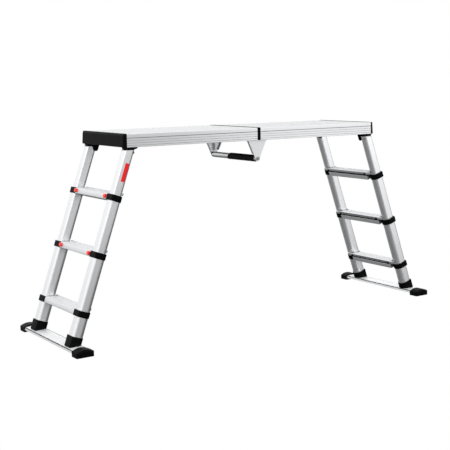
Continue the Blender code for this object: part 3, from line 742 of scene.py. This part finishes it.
# ---- deck ----------------------------------------------------------------------------
@dataclass(frozen=True)
class DeckHalf:
    """One half of the deck with its end cap and joint cap."""

    word: str
    side: int

    def outline(self) -> np.ndarray:
        """The panel's outside (y, z): grooved tread and ribbed side faces."""
        half, edge = DECK_WIDTH / 2, 0.003
        a = np.linspace(0.5 * math.pi, math.pi, 6)
        points = [(-half + edge + edge * math.cos(t), DECK_TOP - edge + edge * math.sin(t)) for t in a]
        for part, width, depth in ((0.33, 0.0030, 0.0030), (0.52, 0.0014, 0.0010),
                                   (0.69, 0.0014, 0.0010), (0.86, 0.0014, 0.0010)):
            z = HEIGHT - part * DECK_THICK
            points += [(-half, z + width / 2), (-half + depth, z + width / 2),
                       (-half + depth, z - width / 2), (-half, z - width / 2)]
        points += [(-half, UNDERSIDE + 0.001), (-half + 0.001, UNDERSIDE)]
        points += [(-y, z) for y, z in reversed(points)]
        lands = 14
        pitch = (DECK_WIDTH - 0.020) / lands
        for i in range(lands + 1):
            y = half - 0.010 - i * pitch
            points += [(y + 0.0015, DECK_TOP), (y + 0.0008, DECK_TOP - 0.001),
                       (y - 0.0008, DECK_TOP - 0.001), (y - 0.0015, DECK_TOP)]
        return np.array(points)

    def panel(self) -> None:
        """Build the hollow aluminium panel."""
        near = self.side * (GAP / 2 + JOINT_CAP_THICK + GAP)
        far = self.side * (DECK_LENGTH / 2 - 0.020 - GAP)
        cell = rounded_rect(DECK_WIDTH / 2 - 0.005, UNDERSIDE + 0.002, DECK_TOP - 0.003, 0.002)
        surface = prism([self.outline(), cell],
                        lambda p: np.stack([np.full(len(p), near), p[:, 0], p[:, 1]], 1),
                        lambda p: np.stack([np.full(len(p), far), p[:, 0], p[:, 1]], 1))
        # outline faces: 24 for each side, whose four grooves start at the 7th, then the tread's 15; all
        # these groove faces get a darker grey as painted shade
        side = np.arange(6, 6 + 16).reshape(4, 4)[:, :3].ravel()
        tread = 2 * 24 + np.arange(4 * 15).reshape(15, 4)[:, :3].ravel()
        groove_shade_faces = np.concatenate([side, 2 * 24 - 2 - side, tread])
        make_object(f"look_{self.word}_deck_panel", surface, EXTRUDED, f"{self.word}_deck",
                    (f"{self.word}_deck_panel",), 0.0, (GROOVE_PAINTED_SHADE, groove_shade_faces))

    def cap(self, name: str, face: float, back: float, edge: float) -> None:
        """Build a black plug over one end of the panel.

        Args:
            name: the node that it stands for.
            face: x of its outside.
            back: x of the side that meets the panel.
            edge: rounding of its outer edge.
        """
        half = DECK_WIDTH / 2
        inward = math.copysign(1.0, back - face)
        plug = rounded_rect(half - 0.0053, UNDERSIDE + 0.0023, DECK_TOP - 0.0033, 0.002)
        thin = rounded_rect(half - 0.0083, UNDERSIDE + 0.0053, DECK_TOP - 0.0063, 0.002)
        rows = []
        for t in np.linspace(0.0, math.pi / 2, 6):
            shrink, step = edge * (1.0 - math.sin(t)), edge * (1.0 - math.cos(t))
            ring = rounded_rect(half - shrink, UNDERSIDE + shrink * 0.5, HEIGHT - shrink * 1.4, 0.004)
            rise = np.clip((ring[:, 1] - UNDERSIDE) / DECK_THICK, 0.0, 1.0)
            rows.append((ring, face + inward * (step + 0.8 * edge * (rise - 0.15) ** 2 * (t < 1.5))))
        full = rounded_rect(half, UNDERSIDE, HEIGHT, 0.004)
        rows += [(full, back), (plug, back), (plug, back + inward * 0.018),
                 (thin, back + inward * 0.018), (thin, back)]
        rings = [np.stack([np.full(len(s), x), s[:, 0], s[:, 1]], 1) for s, x in rows]
        make_object("look_" + name, loft(rings), PLASTIC, f"{self.word}_deck", (name,), 0.0)

    def build(self) -> None:
        """Build the half."""
        side = self.side
        self.panel()
        self.cap(f"{self.word}_end_cap", side * DECK_LENGTH / 2, side * (DECK_LENGTH / 2 - 0.020), 0.009)
        self.cap(f"{self.word}_joint_cap", side * GAP / 2, side * (GAP / 2 + JOINT_CAP_THICK), 0.0012)


@dataclass(frozen=True)
class CarryingBar:
    """The hinge spindle, its rubber grip and its bolt heads."""

    def ring(self, radius: float, y, count: int = 40) -> np.ndarray:
        """A ring about the hinge line."""
        points = circle(radius, count)
        return np.stack([points[:, 0], np.broadcast_to(y, (count,)), PIN_Z + points[:, 1]], 1)

    def build(self) -> None:
        """Build the bar."""
        rows = ((-0.2085, 0.006), (-0.1984, 0.006), (-0.1984, 0.015), (0.1984, 0.015),
                (0.1984, 0.006), (0.2085, 0.006))
        make_object("look_hinge_spindle", loft([self.ring(r, y) for y, r in rows]), EXTRUDED,
                    "left_deck", ("hinge_spindle",), 0.0004)
        points = circle(0.0175, 40)
        slant = 0.045 - 0.018 * points[:, 1] / 0.035
        rings = [self.ring(0.0165, -0.190), self.ring(0.0175, -0.1885), self.ring(0.0175, slant - 0.001),
                 self.ring(0.0165, slant), self.ring(0.0153, slant), self.ring(0.0153, -0.190)]
        make_object("look_handle_grip", loft(rings, closed=True), GRIP, "left_deck", ("handle_grip",), 0.0)
        for end, sign in ENDS:
            rows = ((0.2073, 0.0090), (0.2105, 0.0090), (0.2120, 0.0074), (0.2120, 0.0040), (0.2108, 0.0036))
            rings = [self.ring(r, sign * y, 24) for y, r in rows]
            make_object(f"hinge_bolt_{end}", loft(rings), STEEL, "left_deck", (), 0.0)


def dress_frame(frame: dict) -> None:
    """Give the frame nodes that stay on show their finish."""
    for word, _ in SIDES:
        for part, finish in (("hinge_bracket", PRESSED), ("leg_bracket", PLASTIC)):
            node = frame["nodes"][f"{word}_{part}"]
            node.data.materials.clear()
            node.data.materials.append(finish.material())


# ---- stage ---------------------------------------------------------------------------
@dataclass(frozen=True)
class Studio:
    """Plain pale floor and backdrop, soft lights and the camera."""

    def glow(self, name: str, corners: list[tuple[float, float, float]]) -> None:
        """A plain bright sheet that only the camera sees."""
        mesh = bpy.data.meshes.new(name)
        mesh.from_pydata(corners, [], [(0, 1, 2, 3)])
        mat = bpy.data.materials.new(name)
        mat.use_nodes = True
        tree = mat.node_tree
        tree.nodes.clear()
        out = tree.nodes.new("ShaderNodeOutputMaterial")
        light = tree.nodes.new("ShaderNodeEmission")
        light.inputs["Color"].default_value = (1.0, 1.0, 1.0, 1.0)
        light.inputs["Strength"].default_value = 1.0
        tree.links.new(light.outputs["Emission"], out.inputs["Surface"])
        mesh.materials.append(mat)
        sheet = bpy.data.objects.new(name, mesh)
        sheet.visible_diffuse = False
        sheet.visible_glossy = False
        sheet.visible_transmission = False
        sheet.visible_shadow = False
        bpy.context.scene.collection.objects.link(sheet)

    def world(self) -> None:
        """Soft surround: bright above, darker toward the floor and toward one low corner."""
        world = bpy.data.worlds.new("soft surround")
        bpy.context.scene.world = world
        world.use_nodes = True
        tree = world.node_tree
        back = tree.nodes["Background"]
        coords = tree.nodes.new("ShaderNodeTexCoord")
        split = tree.nodes.new("ShaderNodeSeparateXYZ")
        ramp = tree.nodes.new("ShaderNodeValToRGB")
        spread = tree.nodes.new("ShaderNodeMapRange")
        spread.inputs["From Min"].default_value = -1.0
        spread.inputs["From Max"].default_value = 1.0
        stops = ((0.0, 0.08), (0.25, 0.20), (0.39, 0.56), (0.45, 0.86), (0.50, 1.00), (0.565, 0.96),
                 (0.62, 1.30), (1.0, 1.35))
        while len(ramp.color_ramp.elements) < len(stops):
            ramp.color_ramp.elements.new(0.5)
        for element, (position, value) in zip(ramp.color_ramp.elements, stops):
            element.position = position
            element.color = (value, value, value, 1.0)
        aim = tree.nodes.new("ShaderNodeVectorMath")
        aim.operation = "DOT_PRODUCT"
        aim.inputs[1].default_value = Vector((0.80, 0.02, -0.60)).normalized()
        shade = tree.nodes.new("ShaderNodeMapRange")
        shade.interpolation_type = "SMOOTHSTEP"
        shade.inputs["From Min"].default_value = 0.20
        shade.inputs["From Max"].default_value = 0.85
        shade.inputs["To Min"].default_value = 1.0
        shade.inputs["To Max"].default_value = 0.25
        mix = tree.nodes.new("ShaderNodeVectorMath")
        mix.operation = "SCALE"
        tree.links.new(coords.outputs["Generated"], split.inputs["Vector"])
        tree.links.new(coords.outputs["Generated"], aim.inputs[0])
        tree.links.new(split.outputs["Z"], spread.inputs["Value"])
        tree.links.new(spread.outputs["Result"], ramp.inputs["Fac"])
        tree.links.new(aim.outputs["Value"], shade.inputs["Value"])
        tree.links.new(ramp.outputs["Color"], mix.inputs[0])
        tree.links.new(shade.outputs["Result"], mix.inputs["Scale"])
        tree.links.new(mix.outputs["Vector"], back.inputs["Color"])
        back.inputs["Strength"].default_value = 1.0

    def lamp(self, name: str, place: tuple[float, float, float], power: float, size: float,
             height: float = 0.0, aim: tuple[float, float, float] = (0.0, 0.0, 0.5)) -> None:
        """An area light.

        Args:
            name: its name.
            place: where it hangs.
            power: watts.
            size: width in metres.
            height: height in metres, or 0 for a square light.
            aim: the point that it faces.
        """
        data = bpy.data.lights.new(name, "AREA")
        data.energy, data.size = power, size
        if height:
            data.shape, data.size_y = "RECTANGLE", height
        lamp = bpy.data.objects.new(name, data)
        lamp.location = place
        lamp.rotation_euler = (Vector(aim) - Vector(place)).to_track_quat("-Z", "Y").to_euler()
        bpy.context.scene.collection.objects.link(lamp)

    def camera(self) -> None:
        """The camera, from its place, turn, tilt and roll."""
        yaw, pitch, roll = 0.5928, 0.1463, -0.0144
        ahead = Vector((math.sin(yaw) * math.cos(pitch), math.cos(yaw) * math.cos(pitch), -math.sin(pitch)))
        right = Vector((math.cos(yaw), -math.sin(yaw), 0.0))
        up = right.cross(ahead)
        axis_x = right * math.cos(roll) + up * math.sin(roll)
        axis_y = up * math.cos(roll) - right * math.sin(roll)
        data = bpy.data.cameras.new("camera")
        data.lens, data.sensor_width = 987.6 / 450.0 * 36.0, 36.0
        cam = bpy.data.objects.new("camera", data)
        turn = Matrix((axis_x, axis_y, -ahead)).transposed().to_4x4()
        cam.matrix_world = Matrix.Translation((-2.970, -4.306, 1.244)) @ turn
        bpy.context.scene.collection.objects.link(cam)
        bpy.context.scene.camera = cam

    def build(self) -> None:
        """Build the stage."""
        self.glow("floor", [(-30, -30, 0), (30, -30, 0), (30, 30, 0), (-30, 30, 0)])
        self.glow("backdrop", [(-60, 30, -1), (60, 30, -1), (60, 30, 40), (-60, 30, 40)])
        self.world()
        self.lamp("key", (-2.5, -2.5, 3.5), 45.0, 2.0)
        self.lamp("fill", (3.0, -3.0, 2.0), 15.0, 2.5)
        self.lamp("side", (2.15, -2.0, 0.45), 8.0, 2.5, 1.6, (2.15, 0.0, 0.45))
        self.camera()


def main() -> None:
    """Load the frame, build every piece, set the stage and the view transform."""
    logging.basicConfig(level=logging.INFO)
    for scene_object in list(bpy.data.objects):
        bpy.data.objects.remove(scene_object, do_unlink=True)
    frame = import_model()
    for word, side in SIDES:
        DeckHalf(word, side).build()
        Leg(word, side).build()
    CarryingBar().build()
    dress_frame(frame)
    Studio().build()
    scene = bpy.context.scene
    scene.view_settings.view_transform = "Standard"


if __name__ == "__main__":
    main()
